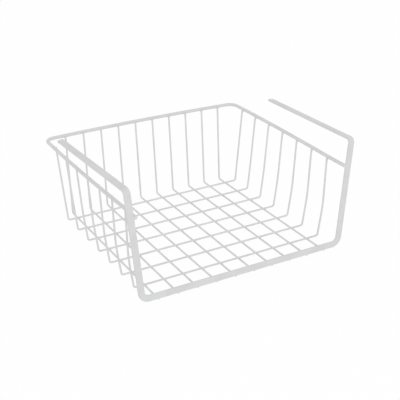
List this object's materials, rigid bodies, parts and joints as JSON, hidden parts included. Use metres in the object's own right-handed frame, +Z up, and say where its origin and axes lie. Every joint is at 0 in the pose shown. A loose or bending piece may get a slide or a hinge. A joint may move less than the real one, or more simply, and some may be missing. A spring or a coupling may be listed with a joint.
{
  "type": "under shelf basket",
  "caption": "Under shelf basket of white coated wire: welded grid floor and walls with an open front, hung on a shelf by two flat arms.",
  "frame": {"origin": "middle of the basket's outline, at the underside of its long floor wires", "axes": "+X across the basket, +Y from the open front to the back wall, +Z up towards the arms"},
  "size_m": [0.3032, 0.2637, 0.14],
  "materials": {
    "hanger_coating": "semi-gloss white coating",
    "rim_coating": "semi-gloss white coating",
    "grid_coating": "semi-gloss white coating"
  },
  "bodies": {
    "root": {"hanger_frame": "hanger_coating", "rim_wire": "rim_coating", "long_wire_01": "grid_coating", "long_wire_02": "grid_coating", "long_wire_03": "grid_coating", "long_wire_04": "grid_coating", "long_wire_05": "grid_coating", "long_wire_06": "grid_coating", "long_wire_07": "grid_coating", "long_wire_08": "grid_coating", "long_wire_09": "grid_coating", "long_wire_10": "grid_coating", "cross_wire_01": "grid_coating", "cross_wire_02": "grid_coating", "cross_wire_03": "grid_coating", "cross_wire_04": "grid_coating", "cross_wire_05": "grid_coating", "cross_wire_06": "grid_coating", "cross_wire_07": "grid_coating"}
  },
  "joints": []
}
